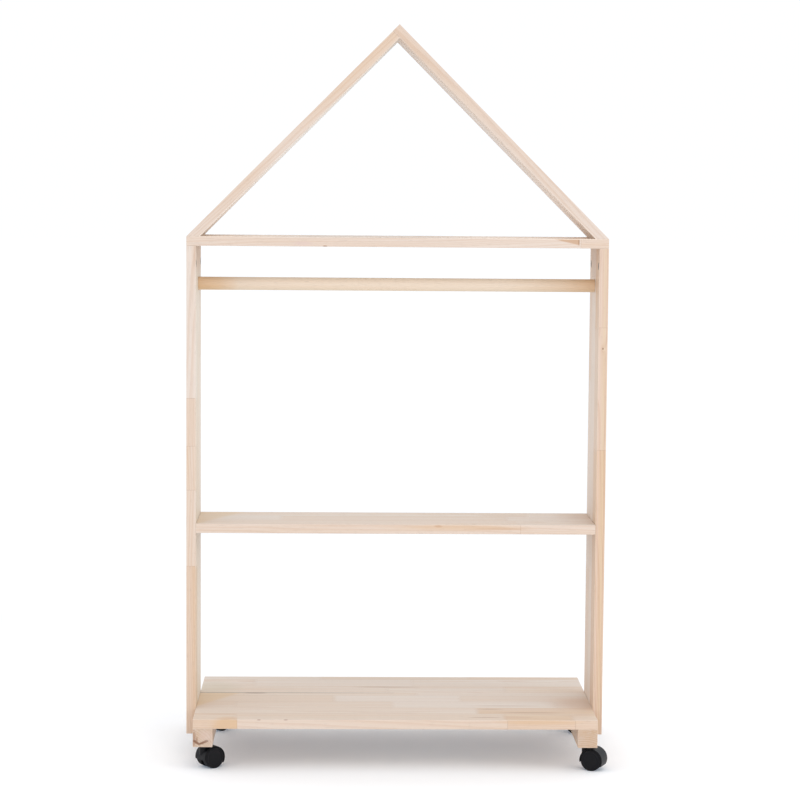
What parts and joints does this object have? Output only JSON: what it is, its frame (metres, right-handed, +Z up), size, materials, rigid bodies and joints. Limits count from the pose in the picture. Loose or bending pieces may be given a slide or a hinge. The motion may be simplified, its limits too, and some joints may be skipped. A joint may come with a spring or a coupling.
{
  "type": "rolling clothes rack",
  "caption": "House-shaped pine clothes rack with a round rod, a middle shelf and a deeper bottom deck, rolling on twin-wheel swivel casters.",
  "frame": {"origin": "on the floor, under the middle of the bottom deck", "axes": "+X from the left post to the right post, +Y from front to back, +Z up"},
  "size_m": [0.8046, 0.4, 1.405],
  "materials": {
    "pine": "sanded, unfinished",
    "rod_wood": "sanded, unfinished",
    "beech_dowel": "fluted",
    "zinc": "die-cast zinc",
    "plated_steel": "zinc plated",
    "black_nylon": "moulded",
    "black_wheel": "moulded"
  },
  "bodies": {
    "frame": {"left_post": "pine", "right_post": "pine", "eave_rail": "pine", "left_rafter": "pine", "right_rafter": "pine", "clothes_rod": "rod_wood", "middle_shelf": "pine", "deck_front_board": "pine", "deck_back_board": "pine", "left_runner": "pine", "right_runner": "pine", "rail_cam_locks": "zinc", "rail_cam_bolts": "plated_steel", "rail_dowels": "beech_dowel", "shelf_cam_locks": "zinc", "shelf_cam_bolts": "plated_steel", "shelf_dowels": "beech_dowel", "deck_dowels": "beech_dowel", "rafter_foot_screws": "plated_steel", "apex_screws": "plated_steel", "rod_screws": "plated_steel", "post_runner_screws": "plated_steel", "deck_runner_screws": "plated_steel", "front_left_caster_socket": "plated_steel", "front_right_caster_socket": "plated_steel", "back_left_caster_socket": "plated_steel", "back_right_caster_socket": "plated_steel"},
    "front_left_swivel": {"front_left_caster_stem": "plated_steel", "front_left_caster_grip_ring": "plated_steel", "front_left_caster_housing": "black_nylon", "front_left_caster_axle": "plated_steel"},
    "front_left_left_wheel": {"front_left_caster_left_wheel": "black_wheel"},
    "front_left_right_wheel": {"front_left_caster_right_wheel": "black_wheel"},
    "front_right_swivel": {"front_right_caster_stem": "plated_steel", "front_right_caster_grip_ring": "plated_steel", "front_right_caster_housing": "black_nylon", "front_right_caster_axle": "plated_steel"},
    "front_right_left_wheel": {"front_right_caster_left_wheel": "black_wheel"},
    "front_right_right_wheel": {"front_right_caster_right_wheel": "black_wheel"},
    "back_left_swivel": {"back_left_caster_stem": "plated_steel", "back_left_caster_grip_ring": "plated_steel", "back_left_caster_housing": "black_nylon", "back_left_caster_axle": "plated_steel"},
    "back_left_left_wheel": {"back_left_caster_left_wheel": "black_wheel"},
    "back_left_right_wheel": {"back_left_caster_right_wheel": "black_wheel"},
    "back_right_swivel": {"back_right_caster_stem": "plated_steel", "back_right_caster_grip_ring": "plated_steel", "back_right_caster_housing": "black_nylon", "back_right_caster_axle": "plated_steel"},
    "back_right_left_wheel": {"back_right_caster_left_wheel": "black_wheel"},
    "back_right_right_wheel": {"back_right_caster_right_wheel": "black_wheel"}
  },
  "joints": [
    {"name": "front_left_swivel", "type": "hinge", "parent": "frame", "child": "front_left_swivel", "pos_m": [-0.3635, -0.168, 0.046], "axis": [0, 0, 1], "continuous": true},
    {"name": "front_left_left_spin", "type": "hinge", "parent": "front_left_swivel", "child": "front_left_left_wheel", "pos_m": [-0.35121, -0.1594, 0.02], "axis": [-0.5736, 0.8192, 0], "continuous": true},
    {"name": "front_left_right_spin", "type": "hinge", "parent": "front_left_swivel", "child": "front_left_right_wheel", "pos_m": [-0.35121, -0.1594, 0.02], "axis": [-0.5736, 0.8192, 0], "continuous": true},
    {"name": "front_right_swivel", "type": "hinge", "parent": "frame", "child": "front_right_swivel", "pos_m": [0.3635, -0.168, 0.046], "axis": [0, 0, 1], "continuous": true},
    {"name": "front_right_left_spin", "type": "hinge", "parent": "front_right_swivel", "child": "front_right_left_wheel", "pos_m": [0.3772, -0.1741, 0.02], "axis": [0.4067, 0.9135, 0], "continuous": true},
    {"name": "front_right_right_spin", "type": "hinge", "parent": "front_right_swivel", "child": "front_right_right_wheel", "pos_m": [0.3772, -0.1741, 0.02], "axis": [0.4067, 0.9135, 0], "continuous": true},
    {"name": "back_left_swivel", "type": "hinge", "parent": "frame", "child": "back_left_swivel", "pos_m": [-0.3635, 0.144, 0.046], "axis": [0, 0, 1], "continuous": true},
    {"name": "back_left_left_spin", "type": "hinge", "parent": "back_left_swivel", "child": "back_left_left_wheel", "pos_m": [-0.35289, 0.15461, 0.02], "axis": [-0.7071, 0.7071, 0], "continuous": true},
    {"name": "back_left_right_spin", "type": "hinge", "parent": "back_left_swivel", "child": "back_left_right_wheel", "pos_m": [-0.35289, 0.15461, 0.02], "axis": [-0.7071, 0.7071, 0], "continuous": true},
    {"name": "back_right_swivel", "type": "hinge", "parent": "frame", "child": "back_right_swivel", "pos_m": [0.3635, 0.144, 0.046], "axis": [0, 0, 1], "continuous": true},
    {"name": "back_right_left_spin", "type": "hinge", "parent": "back_right_swivel", "child": "back_right_left_wheel", "pos_m": [0.3771, 0.13766, 0.02], "axis": [0.4226, 0.9063, 0], "continuous": true},
    {"name": "back_right_right_spin", "type": "hinge", "parent": "back_right_swivel", "child": "back_right_right_wheel", "pos_m": [0.3771, 0.13766, 0.02], "axis": [0.4226, 0.9063, 0], "continuous": true}
  ]
}
